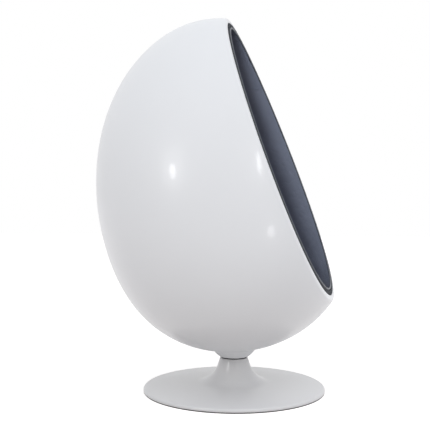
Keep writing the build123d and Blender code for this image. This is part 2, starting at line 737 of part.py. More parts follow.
PIECES = {
    "base_trumpet": base_trumpet(),
    "floor_ring": floor_ring(),
    "ballast_plate": ballast_plate(),
    "flange_screws": Compound(children=around(flange_screw(0), FLANGE_SCREW_CIRCLE, FLANGE_SCREW_COUNT)),
    "column": column(),
    "neck_collar": neck_collar(),
    "collar_screws": Compound(children=around(collar_screw(0), COLLAR_SCREW_CIRCLE, COLLAR_SCREW_COUNT, 90)),
    "lower_bush": bush(LOWER_BUSH_BOTTOM),
    "upper_bush": bush(COLUMN_TOP - BUSH_LENGTH - 1),
    "lower_race": lower_race(),
    "bearing_cage": bearing_cage(),
    "bearing_balls": bearing_balls(),
    "upper_race": upper_race(),
    "hub_plate": hub_plate(),
    "spindle": spindle(),
    "spindle_washer": spindle_washer(),
    "retaining_ring": retaining_ring(),
    "neck_seal": neck_seal(),
    "outer_shell": outer_shell(),
    "clamp_plate": clamp_plate(),
    "bolt_washers": bolt_washers(),
    "mounting_bolts": mounting_bolts(),
    **bearers(),
    "seat_board": seat_board(),
    "board_screws": Compound(children=board_screw_places(0)),
    "tack_strip": rim_ring(LINING_OUTER, LIP_WIDTH, LIP_DEPTH + FIT_GAP, DRESSING_DEPTH),
    "rim_trim": rim_trim(),
    "rim_welt": rim_welt(),
    **lining_panels(),
    "seat_strips": seat_strips(),
    "seat_cushion": seat_cushion(),
    "back_strips": back_strips(),
    "back_cushion": back_cushion(),
}

os.makedirs("parts", exist_ok=True)
for name, piece in PIECES.items():
    export_step(piece, f"parts/{name}.step")
    print(name, round(piece.volume / 1000, 1), "cm3")
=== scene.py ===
from functools import partial
from math import atan2, cos, pi, radians, sin, tau

import bmesh
import bpy
import numpy as np
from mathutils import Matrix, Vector, noise
from mathutils.bvhtree import BVHTree
from mathutils.kdtree import KDTree

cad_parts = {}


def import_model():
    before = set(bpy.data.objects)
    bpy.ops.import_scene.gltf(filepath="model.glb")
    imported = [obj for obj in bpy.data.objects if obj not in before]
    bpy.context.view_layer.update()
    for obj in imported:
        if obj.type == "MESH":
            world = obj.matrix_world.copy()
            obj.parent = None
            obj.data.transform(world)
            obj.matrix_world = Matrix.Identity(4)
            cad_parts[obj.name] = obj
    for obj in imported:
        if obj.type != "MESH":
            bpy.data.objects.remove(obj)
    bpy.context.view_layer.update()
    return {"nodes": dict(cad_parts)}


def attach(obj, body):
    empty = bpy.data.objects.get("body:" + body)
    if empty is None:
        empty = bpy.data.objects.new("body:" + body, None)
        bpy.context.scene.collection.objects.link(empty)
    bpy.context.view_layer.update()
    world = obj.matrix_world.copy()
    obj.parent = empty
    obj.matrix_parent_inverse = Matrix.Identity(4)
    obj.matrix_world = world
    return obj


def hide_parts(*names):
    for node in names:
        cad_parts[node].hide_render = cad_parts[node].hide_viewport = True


# Pod chair. Metres; origin on the floor under the swivel axis, +Z up, the opening faces -Y.

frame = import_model()

# ---- Driving sizes -------------------------------------------------------------------------------

POLE = np.array([0, -0.0382, 0.1353])
POD_LEAN = radians(6.65)
HALF_LENGTH = 0.548
HALF_DEPTH = 0.429
LOW_BELLY, FULLNESS, TIP = 0.032, 0.059, -0.061
SIDE_BELLY = 0.144
OPENING_LEAN = radians(20.49)
OPENING_DISTANCE = 0.2011

SHELL_WALL = 0.006
LIP_WIDTH = 0.014
LIP_DEPTH = 0.006
LIP_ROUND = 0.0045
LIP_INNER_ROUND = 0.0015

FIT_GAP = 0.0003
TRIM_OUTER = LIP_WIDTH + FIT_GAP
TRIM_WIDTH = 0.0125
TRIM_RISE = 0.002
TRIM_DEPTH = 0.011
DRESSING_DEPTH = TRIM_DEPTH - TRIM_RISE
WELT_OUTER = TRIM_OUTER + TRIM_WIDTH + FIT_GAP
WELT_RADIUS = 0.003
WELT_RISE = 0.003

LINING_OUTER = SHELL_WALL + FIT_GAP
LINING_INNER = LINING_OUTER + 0.020
CROWN_SEAM_HEIGHT = 1.030
BACK_PANEL_HALF_WIDTH = 0.190
SEAM_GAP = 0.0006
BOARD_TOP = 0.280

SEAT_SEAM_HEIGHT = 0.3789
SEAT_BOTTOM = 0.283
BACK_INSET = 0.0298
BACK_BOTTOM = 0.397
BACK_CUSHION_HEIGHT = 0.450
BACK_CUSHION_THICKNESS = 0.128
BACK_CUSHION_SIDE = 0.042
BACK_CORNER_SHARE = 0.12

AXIS = np.array([0, sin(POD_LEAN), cos(POD_LEAN)])
BACKWARD = np.array([0, cos(POD_LEAN), -sin(POD_LEAN)])
CENTRE = POLE + HALF_LENGTH * AXIS
ACROSS = np.array([1.0, 0, 0])
UPRIGHT = np.array([0, 0, 1.0])
OUTWARD = np.array([0, -cos(OPENING_LEAN), sin(OPENING_LEAN)])
UPWARD = np.array([0, sin(OPENING_LEAN), cos(OPENING_LEAN)])
OPENING_PLANE = float(CENTRE @ OUTWARD) + OPENING_DISTANCE


# ---- The egg, measured anywhere ------------------------------------------------------------------

def half_depth(t):
    c = np.cos(t)
    return HALF_DEPTH * np.sin(t) * (1 - LOW_BELLY * c + FULLNESS * c**2 + TIP * c**3)


def half_width(t):
    return half_depth(t) * (1 - SIDE_BELLY * np.cos(t))


WALLS = {}


def wall_tables(inset):
    """Radii of the egg drawn in by inset, against the height along its axis."""
    if inset not in WALLS:
        t = np.linspace(1e-3, pi - 1e-3, 1500)
        step = 1e-4
        tables = []
        for outline in (half_depth, half_width):
            slope_a = -HALF_LENGTH * np.sin(t)
            slope_r = (outline(t + step) - outline(t - step)) / (2 * step)
            length = np.hypot(slope_a, slope_r)
            along = HALF_LENGTH * np.cos(t) - inset * slope_r / length
            radius = outline(t) + inset * slope_a / length
            tables.append((along[::-1], np.maximum(radius[::-1], 1e-5)))
        WALLS[inset] = tables
    return WALLS[inset]


FAR_OUTSIDE = 9
LONGEST_RAY = 1.2
HALVINGS = 36


def beyond_wall(points, inset):
    """Positive outside the drawn-in egg, negative inside it."""
    depth_table, width_table = wall_tables(inset)
    rel = points - CENTRE
    along = rel @ AXIS
    back = rel @ BACKWARD
    depth = np.interp(along, *depth_table)
    width = np.interp(along, *width_table)
    past_tip = np.abs(along) > HALF_LENGTH - inset
    return (back / depth) ** 2 + (rel[..., 0] / width) ** 2 - 1 + FAR_OUTSIDE * past_tip


def reach_wall(starts, directions, inset):
    """Points where rays from inside meet the drawn-in egg."""
    near = np.zeros(directions.shape[:-1])
    far = near + LONGEST_RAY
    for _ in range(HALVINGS):
        middle = (near + far) / 2
        inside = beyond_wall(starts + middle[..., None] * directions, inset) < 0
        near = np.where(inside, middle, near)
        far = np.where(inside, far, middle)
    return starts + near[..., None] * directions


def unit(vectors):
    """The same directions with a length of one."""
    return vectors / np.linalg.norm(vectors, axis=-1, keepdims=True)


def wall_normals(points, inset):
    """Unit normals of the drawn-in egg, pointing out of it."""
    step = 2e-4
    slopes = [
        beyond_wall(points + step * axis, inset) - beyond_wall(points - step * axis, inset)
        for axis in np.eye(3)
    ]
    return unit(np.stack(slopes, -1))


def ring_angles(count):
    return np.arange(count) * tau / count


def rim_loop(inset, depth, count):
    """Closed curve where the drawn-in egg meets the plane depth behind the opening."""
    middle = CENTRE + (OPENING_DISTANCE - depth) * OUTWARD
    angles = ring_angles(count)
    directions = np.cos(angles)[:, None] * ACROSS + np.sin(angles)[:, None] * UPWARD
    return reach_wall(middle, directions, inset)


def behind_opening(points):
    """Depth of points behind the opening plane."""
    return OPENING_DISTANCE - (points - CENTRE) @ OUTWARD


def bowl_rows(inset, depth, rows, count):
    """Rows of points on the drawn-in egg, from its back to the loop at that depth."""
    loop = rim_loop(inset, depth, count) - CENTRE
    flat = loop - (loop @ OUTWARD)[:, None] * OUTWARD
    opening_angle = np.arctan2(np.linalg.norm(flat, axis=1), -(loop @ OUTWARD))
    swing = np.linspace(0, 1, rows + 1)[1:, None] * opening_angle
    directions = np.sin(swing)[..., None] * unit(flat) - np.cos(swing)[..., None] * OUTWARD
    return reach_wall(CENTRE, directions, inset)


# ---- Meshes --------------------------------------------------------------------------------------

def placed(name, data):
    """A new object of the scene, at the origin."""
    obj = bpy.data.objects.new(name, data)
    bpy.context.scene.collection.objects.link(obj)
    return obj


def new_object(name, vertices, faces, smooth=True):
    mesh = bpy.data.meshes.new(name)
    mesh.from_pydata([tuple(v) for v in np.asarray(vertices, float)], [], faces)
    mesh.validate()
    mesh.polygons.foreach_set("use_smooth", [smooth] * len(mesh.polygons))
    mesh.update()
    return placed(name, mesh)


def strip_faces(first, second):
    """Quads between two closed rows of vertex numbers."""
    following = [*range(1, len(first)), 0]
    return [(first[i], first[j], second[j], second[i]) for i, j in enumerate(following)]


def loft(name, rows, closed_ends=False, tips=(None, None), flip=False):
    """Mesh through closed rows of points; a tip closes an end of the loft with a fan."""
    points = []
    numbers = []
    for row in rows:
        numbers.append(list(range(len(points), len(points) + len(row))))
        points.extend(row)
    faces = []
    for first, second in zip(numbers, numbers[1:]):
        faces += strip_faces(first, second)
    if closed_ends:
        faces += strip_faces(numbers[-1], numbers[0])
    for tip, row, turn in ((tips[0], numbers[0], True), (tips[1], numbers[-1], False)):
        if tip is None:
            continue
        points.append(tip)
        centre = len(points) - 1
        for i in range(len(row)):
            j = (i + 1) % len(row)
            faces.append((row[j], row[i], centre) if turn else (row[i], row[j], centre))
    if flip:
        faces = [tuple(reversed(face)) for face in faces]
    return new_object(name, points, faces)


def turned_row(radius, height, count):
    """Closed row of points round the swivel axis, at one height or at one for each point."""
    angles = ring_angles(count)
    return np.stack([radius * np.cos(angles), radius * np.sin(angles), np.broadcast_to(height, count)], -1)


def lathe(name, profile, count):
    """Solid turned about the swivel axis from a closed (radius, height) outline."""
    return loft(name, [turned_row(r, z, count) for r, z in profile], closed_ends=True)


def dress(obj, body, finish, slot, *nodes):
    """Material, body and the CAD nodes that a finished piece stands for; slot is not used."""
    obj.data.materials.clear()
    obj.data.materials.append(finish)
    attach(obj, body)
    if nodes:
        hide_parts(*nodes)
    return obj


# ---- Nodes and shader maths ----------------------------------------------------------------------

def add_node(tree, kind, inputs=None, output=0, stops=(), **settings):
    """Any node: its settings or a ramp's stops first, then the values or links of its sockets."""
    node = tree.nodes.new(kind)
    for key, value in settings.items():
        setattr(node, key, value)
    for number, (position, colour) in enumerate(stops):
        element = node.color_ramp.elements[number]
        element.position = position
        element.color = (*colour, 1)
    for key, value in (inputs or {}).items():
        if isinstance(value, bpy.types.NodeSocket):
            tree.links.new(value, node.inputs[key])
        else:
            node.inputs[key].default_value = value
    return node.outputs[output] if node.outputs else None


class Value:
    """One output in a finish's node tree; Python's operators add Math nodes to it."""

    def __init__(self, finish, socket):
        self.finish = finish
        self.socket = socket

    def math(self, operation, first, second):
        return self.finish.node("ShaderNodeMath", {0: first, 1: second}, operation=operation)

    def __add__(self, other):
        return self.math("ADD", self, other)

    def __sub__(self, other):
        return self.math("SUBTRACT", self, other)

    def __rsub__(self, other):
        return self.math("SUBTRACT", other, self)

    def __mul__(self, other):
        return self.math("MULTIPLY", self, other)

    __radd__ = __add__
    __rmul__ = __mul__


class Finish:
    """A material around one Principled shader."""

    def __init__(self, name, **constants):
        self.material = bpy.data.materials.new(name)
        self.material.use_nodes = True
        self.tree = self.material.node_tree
        self.shader = self.tree.nodes["Principled BSDF"]
        for socket, value in constants.items():
            self.shader.inputs[socket.replace("_", " ")].default_value = value

    def node(self, kind, inputs, output=0, **settings):
        links = {key: value.socket if isinstance(value, Value) else value for key, value in inputs.items()}
        return Value(self, add_node(self.tree, kind, links, output, **settings))

    def feed(self, **links):
        """The material, once its changing values reach the shader."""
        for socket, value in links.items():
            self.tree.links.new(value.socket, self.shader.inputs[socket.replace("_", " ")])
        return self.material

    def place(self):
        return self.node("ShaderNodeTexCoord", {}, "Object")

    def noise(self, scale, detail=4.0, roughness=0.5, distortion=0.0, vector=None):
        inputs = {"Scale": scale, "Detail": detail, "Roughness": roughness, "Distortion": distortion}
        inputs["Vector"] = vector or self.place()
        return self.node("ShaderNodeTexNoise", inputs, "Fac")

    def cells(self, scale):
        inputs = {"Scale": scale, "Vector": self.place()}
        return self.node("ShaderNodeTexVoronoi", inputs, "Distance", feature="F1")

    def span(self, value, low, high, new_low, new_high):
        inputs = {"Value": value, "From Min": low, "From Max": high, "To Min": new_low, "To Max": new_high}
        return self.node("ShaderNodeMapRange", inputs, interpolation_type="SMOOTHSTEP")

    def colours(self, value, *stops):
        return self.node("ShaderNodeValToRGB", {"Fac": value}, "Color", stops=stops)

    def bump(self, height, strength, distance):
        inputs = {"Height": height, "Strength": strength, "Distance": distance}
        return self.node("ShaderNodeBump", inputs, "Normal")


def glossy_coat(name, colour, roughness, coat=0.2):
    """Hard white coat with a faint orange peel and slightly uneven shine."""
    finish = Finish(name, Coat_Weight=coat, Coat_Roughness=0.1, Specular_IOR_Level=0.32)
    clouds = finish.noise(2.4, 3.0)
    peel = finish.noise(160.0, 2.0, 0.4)
    dust = finish.noise(38.0, 5.0, 0.65)
    shade = finish.colours(clouds, (0.3, [c * 0.985 for c in colour]), (0.7, colour))
    shine = finish.span(dust, 0.35, 0.75, roughness * 0.97, roughness * 1.05)
    return finish.feed(Base_Color=shade, Roughness=shine, Normal=finish.bump(peel, 0.05, 0.0006))


PEBBLES_PER_METRE = 900.0
# Depths over which the lining's colour is painted lighter towards the opening: painted light at the mouth,
# painted shade deeper in
MOUTH_TONE_FAR = OPENING_PLANE - 0.16
MOUTH_TONE_NEAR = OPENING_PLANE - 0.02


def leatherette(name, dark, light, roughness=0.42, mouth=None, sheen=0.45):
    """Coated cloth with a pebbled grain and soft creases; mouth is its tone near the opening, painted light
    that leaves the lining darker deeper in as painted shade.
    """
    finish = Finish(name, Specular_IOR_Level=sheen)
    pebbles = finish.cells(PEBBLES_PER_METRE)
    crease = finish.noise(95.0, 6.0, 0.62, 0.6)
    patches = finish.noise(5.0, 4.0, 0.55)
    fine = finish.noise(1800.0, 2.0)
    height = pebbles * 0.55 + crease * 0.6 + fine * 0.15
    tone = patches * 0.7 + pebbles * 0.35
    shade = finish.colours(tone, (0.25, dark), (0.75, light))
    # Painted light: the colour blends from the plain tone deep inside to the lighter mouth tone near the
    # opening
    if mouth:
        sides = {0: finish.place(), 1: tuple(OUTWARD)}
        ahead = finish.node("ShaderNodeVectorMath", sides, "Value", operation="DOT_PRODUCT")
        near = finish.span(ahead, MOUTH_TONE_FAR, MOUTH_TONE_NEAR, 0.0, 1.0)
        painted_mouth_light = finish.colours(tone, (0.25, [c * 0.8 for c in mouth]), (0.75, mouth))
        shade = finish.node("ShaderNodeMix", {0: near, 6: shade, 7: painted_mouth_light}, 2, data_type="RGBA")
    shine = finish.span(crease + patches * 0.5, 0.4, 1.1, roughness * 0.85, roughness * 1.25)
    return finish.feed(Base_Color=shade, Roughness=shine, Normal=finish.bump(height, 0.35, 0.0012))


def metal(name, colour, roughness, scale=300.0, metallic=1.0):
    """Bare, plated or primed metal with fine marks and darker patches."""
    finish = Finish(name, Metallic=metallic)
    marks = finish.noise(scale, 4.0, 0.6)
    patches = finish.noise(24.0, 3.0)
    shade = finish.colours(patches, (0.3, [c * 0.82 for c in colour]), (0.75, colour))
    shine = finish.span(marks, 0.3, 0.7, roughness * 0.7, roughness * 1.4)
    return finish.feed(Base_Color=shade, Roughness=shine, Normal=finish.bump(marks, 0.1, 0.0003))


def rubber(name, colour):
    """Dull dark stuff, paler where dust lies: rubber, plastic, tape and thread."""
    finish = Finish(name, Specular_IOR_Level=0.3)
    fine = finish.noise(700.0, 3.0)
    dust = finish.noise(30.0, 5.0, 0.7)
    shade = finish.colours(dust, (0.35, colour), (0.8, [c * 1.9 + 0.01 for c in colour]))
    shine = finish.span(dust, 0.3, 0.8, 0.55, 0.8)
    return finish.feed(Base_Color=shade, Roughness=shine, Normal=finish.bump(fine, 0.2, 0.0005))


def timber(name, dark, light, stretch):
    """Sawn wood with rings drawn out along the board."""
    finish = Finish(name, Specular_IOR_Level=0.3)
    stretched = finish.node("ShaderNodeMapping", {"Vector": finish.place(), "Scale": stretch}, "Vector")
    inputs = {"Vector": stretched, "Scale": 14.0, "Distortion": 7.0, "Detail": 3.0, "Detail Scale": 1.4}
    rings = finish.node("ShaderNodeTexWave", inputs, "Fac", wave_type="BANDS", bands_direction="Y")
    pores = finish.noise(420.0, 4.0, 0.6, 0.0, stretched)
    tone = rings * 0.6 + pores * 0.4
    shade = finish.colours(tone, (0.2, dark), (0.8, light))
    shine = finish.span(pores, 0.3, 0.7, 0.5, 0.75)
    return finish.feed(Base_Color=shade, Roughness=shine, Normal=finish.bump(tone, 0.2, 0.0006))


GELCOAT = glossy_coat("white_gelcoat", (0.845, 0.85, 0.858), 0.36)
ENAMEL = glossy_coat("white_enamel", (0.735, 0.727, 0.724), 0.3, 0.12)
# The lining's mouth tone is painted light near the opening, with painted shade deeper in
LINING = leatherette(
    "slate_leatherette", (0.064, 0.075, 0.115), (0.11, 0.127, 0.188), mouth=(0.19, 0.198, 0.25)
)
TRIM = leatherette("dark_leatherette", (0.016, 0.018, 0.023), (0.032, 0.036, 0.044), 0.6, sheen=0.1)
PIPING = leatherette("piping_leatherette", (0.085, 0.093, 0.11), (0.14, 0.15, 0.172), 0.42)
CUSHION = leatherette("cushion_leatherette", (0.09, 0.1, 0.125), (0.165, 0.18, 0.215))
THREAD = rubber("slate_thread", (0.035, 0.04, 0.05))
BLACK_STEEL = metal("black_primed_steel", (0.03, 0.03, 0.034), 0.5, 240.0, 0.3)
TURNED_STEEL = metal("turned_steel", (0.48, 0.48, 0.49), 0.28)
ZINC = metal("bright_zinc", (0.6, 0.61, 0.63), 0.3, 500.0)
BEARING_STEEL = metal("bearing_steel", (0.66, 0.66, 0.67), 0.12, 200.0)
ALLOY = metal("cast_alloy", (0.55, 0.55, 0.56), 0.42, 180.0)
BRONZE = metal("bearing_bronze", (0.42, 0.26, 0.1), 0.33)
BLACK_RUBBER = rubber("black_rubber", (0.012, 0.012, 0.013))
PLYWOOD = timber("birch_plywood", (0.42, 0.28, 0.15), (0.62, 0.46, 0.28), (1, 9, 40))
PINE = timber("pine_block", (0.40, 0.25, 0.12), (0.60, 0.42, 0.22), (1, 7, 7))
BLACK_PLASTIC = rubber("black_plastic", (0.02, 0.02, 0.021))
HOOK_TAPE = rubber("hook_tape", (0.01, 0.01, 0.011))

NODE_FINISHES = {
    "floor_ring": BLACK_RUBBER,
    "neck_seal": BLACK_RUBBER,
    "ballast_plate": BLACK_STEEL,
    "hub_plate": BLACK_STEEL,
    "clamp_plate": BLACK_STEEL,
    "column": TURNED_STEEL,
    "spindle": TURNED_STEEL,
    "neck_collar": ALLOY,
    "flange_screws": ZINC,
    "collar_screws": ZINC,
    "mounting_bolts": ZINC,
    "bolt_washers": ZINC,
    "spindle_washer": ZINC,
    "retaining_ring": ZINC,
    "board_screws": ZINC,
    "lower_bush": BRONZE,
    "upper_bush": BRONZE,
    "bearing_cage": BRONZE,
    "lower_race": BEARING_STEEL,
    "upper_race": BEARING_STEEL,
    "bearing_balls": BEARING_STEEL,
    "bearer_left": PINE,
    "bearer_right": PINE,
    "bearer_front": PINE,
    "bearer_back": PINE,
    "seat_board": PLYWOOD,
    "tack_strip": BLACK_PLASTIC,
    "seat_strips": HOOK_TAPE,
    "back_strips": HOOK_TAPE,
}


def finish_nodes():
    for name, material in NODE_FINISHES.items():
        node = frame["nodes"][name]
        node.data.materials.clear()
        node.data.materials.append(material)


# ---- Shell ---------------------------------------------------------------------------------------

SHELL_COUNT = 240
SHELL_ROWS = 96


def lip_rows(count):
    """Rows round the turned-in lip, from its outer rounding to the inner wall."""
    rows = []
    for a in np.radians(range(15, 91, 15)):
        rows.append(rim_loop(LIP_ROUND * (1 - cos(a)), LIP_ROUND * (1 - sin(a)), count))
    flat_end = LIP_WIDTH - LIP_INNER_ROUND
    for inset in np.linspace(LIP_ROUND, flat_end, 4)[1:]:
        rows.append(rim_loop(float(inset), 0.0, count))
    for a in np.radians((30, 60, 90)):
        inset = flat_end + LIP_INNER_ROUND * sin(a)
        rows.append(rim_loop(float(inset), LIP_INNER_ROUND * (1 - cos(a)), count))
    rows.append(rim_loop(LIP_WIDTH, LIP_DEPTH, count))
    return rows


def pod_shell():
    outer = bowl_rows(0, LIP_ROUND, SHELL_ROWS, SHELL_COUNT)
    inner = bowl_rows(SHELL_WALL, LIP_DEPTH, SHELL_ROWS // 2, SHELL_COUNT)[::-1]
    back = reach_wall(CENTRE, -OUTWARD[None, :], 0)[0]
    inner_back = reach_wall(CENTRE, -OUTWARD[None, :], SHELL_WALL)[0]
    rows = [*outer, *lip_rows(SHELL_COUNT), *inner]
    shell = loft("pod_shell", rows, tips=(back, inner_back))
    return dress(shell, "pod", GELCOAT, "shell_gelcoat", "outer_shell")


BOSS_BOTTOM = 0.110
BOSS_BOTTOM_RADIUS = 0.0452
BOSS_FACE_RADII = (0.030, 0.034)
BOSS_WAIST = (0.0595, 0.1205)
BOSS_TOP = (0.0755, 0.142)
BOSS_ROUND = 0.0022
BOSS_ROUND_SHARE = 0.08
BOSS_EDGE_PULL = 0.35 * BOSS_ROUND
BOSS_FLARE = 0.009
BOSS_COUNT = 144
# Reach past the bowl's top and depth below the egg's face, of the rows that run into the egg
BOSS_SKIRT = ((0.002, 0.00025), (0.005, 0.0001), (0.009, -0.0002))
HIDDEN_RADIUS, HIDDEN_HEIGHT = 0.07, 0.150
INSIDE_HEIGHT = 0.4


def circle_through(a, b, c):
    """Centre and radius of the circle through three (radius, height) points."""
    (ax, ay), (bx, by), (cx, cy) = a, b, c
    d = 2 * (ax * (by - cy) + bx * (cy - ay) + cx * (ay - by))
    squares = [x * x + y * y for x, y in (a, b, c)]
    ux = (squares[0] * (by - cy) + squares[1] * (cy - ay) + squares[2] * (ay - by)) / d
    uy = (squares[0] * (cx - bx) + squares[1] * (ax - cx) + squares[2] * (bx - ax)) / d
    return (ux, uy), float(np.hypot(ax - ux, ay - uy))


def underside_height(x, y):
    """Height of the egg's outer face below the points x, y."""
    starts = np.stack([x, y, np.full_like(x, INSIDE_HEIGHT)], -1)
    return reach_wall(starts, np.broadcast_to(-UPRIGHT, starts.shape), 0)[..., 2]


def pod_boss():
    """Bowl under the shell, swept up into the egg with a small fillet."""
    angles = ring_angles(BOSS_COUNT)
    middle, radius = circle_through((BOSS_BOTTOM_RADIUS, BOSS_BOTTOM), BOSS_WAIST, BOSS_TOP)
    start = atan2(BOSS_BOTTOM - middle[1], BOSS_BOTTOM_RADIUS - middle[0])
    end = atan2(BOSS_TOP[1] - middle[1], BOSS_TOP[0] - middle[0])
    face_radii = (*BOSS_FACE_RADII, BOSS_BOTTOM_RADIUS - BOSS_ROUND)
    rows = [turned_row(r, BOSS_BOTTOM, BOSS_COUNT) for r in face_radii]
    for share in np.linspace(0, 1, 40):
        a = start + (end - start) * share
        r = middle[0] + radius * cos(a)
        z = middle[1] + radius * sin(a)
        edge = max(0.0, 1 - share / BOSS_ROUND_SHARE)
        r -= BOSS_EDGE_PULL * edge**2
        z += BOSS_EDGE_PULL * edge * (1 - edge)
        wall = underside_height(r * np.cos(angles), r * np.sin(angles))
        blend = np.clip((z - wall + BOSS_FLARE) / (2 * BOSS_FLARE), 0, 1)
        height = np.minimum(z, wall) - BOSS_FLARE * 0.5 * blend * (1 - blend)
        rows.append(turned_row(r, height, BOSS_COUNT))
    for reach, drop in BOSS_SKIRT:
        r = BOSS_TOP[0] + reach
        wall = underside_height(r * np.cos(angles), r * np.sin(angles))
        rows.append(turned_row(r, wall - drop, BOSS_COUNT))
    rows.append(turned_row(HIDDEN_RADIUS, HIDDEN_HEIGHT, BOSS_COUNT))
    boss = loft("pod_boss", rows, tips=((0, 0, BOSS_BOTTOM), (0, 0, HIDDEN_HEIGHT)), flip=True)
    return dress(boss, "pod", GELCOAT, "shell_gelcoat")


# ---- Base ----------------------------------------------------------------------------------------

NECK_MOUTH_RADIUS = 0.042
NECK_RADIUS = 0.046
NECK_TOP = 0.107
NECK_LIP = 0.005
NECK_FOOT = (0.071, 0.0305)
BASE_RADIUS = 0.300
BASE_RIM_TOP = 0.0132
BASE_RIM_FOOT = 0.003
BASE_WALL = 0.003
BASE_COUNT = 240
NECK_ROUND, SWEEP_ROUND, BASE_RIM_ROUND = 0.002, 0.082, 0.008


def trumpet_outline(inset):
    """(radius, height) points of the base's face, from the neck's mouth to the rim's foot."""
    corners = np.array([
        (NECK_MOUTH_RADIUS, NECK_TOP),
        (NECK_RADIUS, NECK_TOP),
        NECK_FOOT,
        (BASE_RADIUS, BASE_RIM_TOP),
        (BASE_RADIUS, BASE_RIM_FOOT),
    ])
    rounds = (NECK_ROUND, SWEEP_ROUND, BASE_RIM_ROUND)
    points = [corners[0]]
    for before, corner, after, radius in zip(corners, corners[1:], corners[2:], rounds):
        first, second = unit(before - corner), unit(after - corner)
        half = np.arccos(first @ second) / 2
        reach = radius / np.tan(half)
        middle = corner + unit(first + second) * radius / sin(half)
        start, end = corner + first * reach - middle, corner + second * reach - middle
        turn = pi - 2 * half
        side = np.sign(start[0] * end[1] - start[1] * end[0])
        for share in np.linspace(0, 1, 15):
            c, s = cos(side * turn * share), sin(side * turn * share)
            points.append(middle + [start[0] * c - start[1] * s, start[0] * s + start[1] * c])
    points = np.array([*points, corners[-1]])
    tangent = np.gradient(points, axis=0)
    return points - inset * unit(np.stack([-tangent[:, 1], tangent[:, 0]], -1))


def base_shell():
    outer = trumpet_outline(0)
    inner = trumpet_outline(BASE_WALL)
    inner = inner[inner[:, 1] < NECK_TOP - NECK_LIP]
    inner[:, 1] = np.maximum(inner[:, 1], BASE_RIM_FOOT)
    profile = [*outer[::-1], (NECK_MOUTH_RADIUS, NECK_TOP - NECK_LIP), *inner]
    shell = lathe("base_shell", profile, BASE_COUNT)
    return dress(shell, "base", ENAMEL, "base_paint", "base_trumpet")


# ---- Rim dressing --------------------------------------------------------------------------------

RIM_COUNT = 720
WELT_COUNT = 900
TRIM_CROWN = 0.0045
TRIM_SHOULDER = 0.006
GATHER_HEIGHT = 0.00022
GATHERS_ROUND = (61, 97, 143, 190, 233)


def rim_band():
    """Leatherette pulled over a foam strip inside the lip, with fine gathers where it turns."""
    angles = ring_angles(RIM_COUNT)
    rng = np.random.default_rng(4)
    waves = sum(rng.uniform(0.4, 1) * np.sin(n * angles + rng.uniform(0, tau)) for n in GATHERS_ROUND)
    gather = GATHER_HEIGHT * waves / 2
    inner = TRIM_OUTER + TRIM_WIDTH
    side_depths = (DRESSING_DEPTH, TRIM_SHOULDER)
    rows = [rim_loop(TRIM_OUTER, depth, RIM_COUNT) for depth in side_depths]
    for a in np.radians(np.linspace(0, 180, 17)):
        crown = sin(a) ** 0.55
        inset = TRIM_OUTER + TRIM_WIDTH * (1 - cos(a)) / 2
        loop = rim_loop(inset, TRIM_CROWN * (1 - crown) - TRIM_RISE, RIM_COUNT)
        rows.append(loop - (gather * crown)[:, None] * OUTWARD)
    rows += [rim_loop(inner, depth, RIM_COUNT) for depth in side_depths[::-1]]
    band = loft("rim_band", rows, closed_ends=True, flip=True)
    return dress(band, "pod", TRIM, "trim_leatherette", "rim_trim")


def tube(name, path, radius, aside, sides=10):
    """Round piping along a closed path; aside is a direction across it, or one for each point."""
    tangents = unit(np.roll(path, -1, 0) - np.roll(path, 1, 0))
    first = unit(np.cross(tangents, aside))
    second = np.cross(tangents, first)
    radius = np.broadcast_to(radius, len(path))[:, None]
    rows = [path + radius * (cos(a) * first + sin(a) * second) for a in ring_angles(sides)]
    return loft(name, rows, closed_ends=True)


def uneven(count, share, seed):
    """A factor for each point of a closed path, swelling and thinning a little round 1."""
    angles = ring_angles(count)
    rng = np.random.default_rng(seed)
    waves = sum(np.sin(n * angles + rng.uniform(0, tau)) for n in (count // 17, count // 11, count // 7))
    return 1 + share * waves / 3


def rim_welt():
    path = rim_loop(WELT_OUTER + WELT_RADIUS, WELT_RADIUS - WELT_RISE, WELT_COUNT)
    welt = tube("rim_piping", path, WELT_RADIUS * uneven(WELT_COUNT, 0.04, 8), OUTWARD, 12)
    return dress(welt, "pod", PIPING, "welt_leatherette", "rim_welt")


FACING_INSET = 0.0271
FACING_MIDDLE = 0.0083
FACING_HALF_WIDTH = 0.0053
FACING_RISE = 0.0012


def rim_facing():
    """Narrow padded roll of lining between the piping and the lining's panels."""
    rows = []
    puff = uneven(RIM_COUNT, 0.12, 21)
    for a in np.radians(np.linspace(0, 180, 13)):
        loop = rim_loop(FACING_INSET, FACING_MIDDLE - FACING_HALF_WIDTH * cos(a), RIM_COUNT)
        rise = FACING_RISE * sin(a) ** 0.7
        rows.append(loop - (rise * puff)[:, None] * wall_normals(loop, FACING_INSET))
    roll = loft("rim_facing", rows, closed_ends=True)
    return dress(roll, "pod", LINING, "lining_leatherette")


# ---- Lining --------------------------------------------------------------------------------------

def roughness_at(points, scale, seed, octaves=3):
    """Smooth noise from about -1 to 1 at each point."""
    offset = Vector((seed * 7.3, seed * 3.1, seed * 5.7))
    values = [noise.fractal(Vector(p) * scale + offset, 1.0, 2.0, octaves) for p in points.reshape(-1, 3)]
    return np.array(values).reshape(points.shape[:-1])


def along_wall(value, normals, direction):
    """Distance along the wall to the plane that lies value away in that direction."""
    return value / np.sqrt(np.maximum(1 - (normals @ direction) ** 2, 0.04))


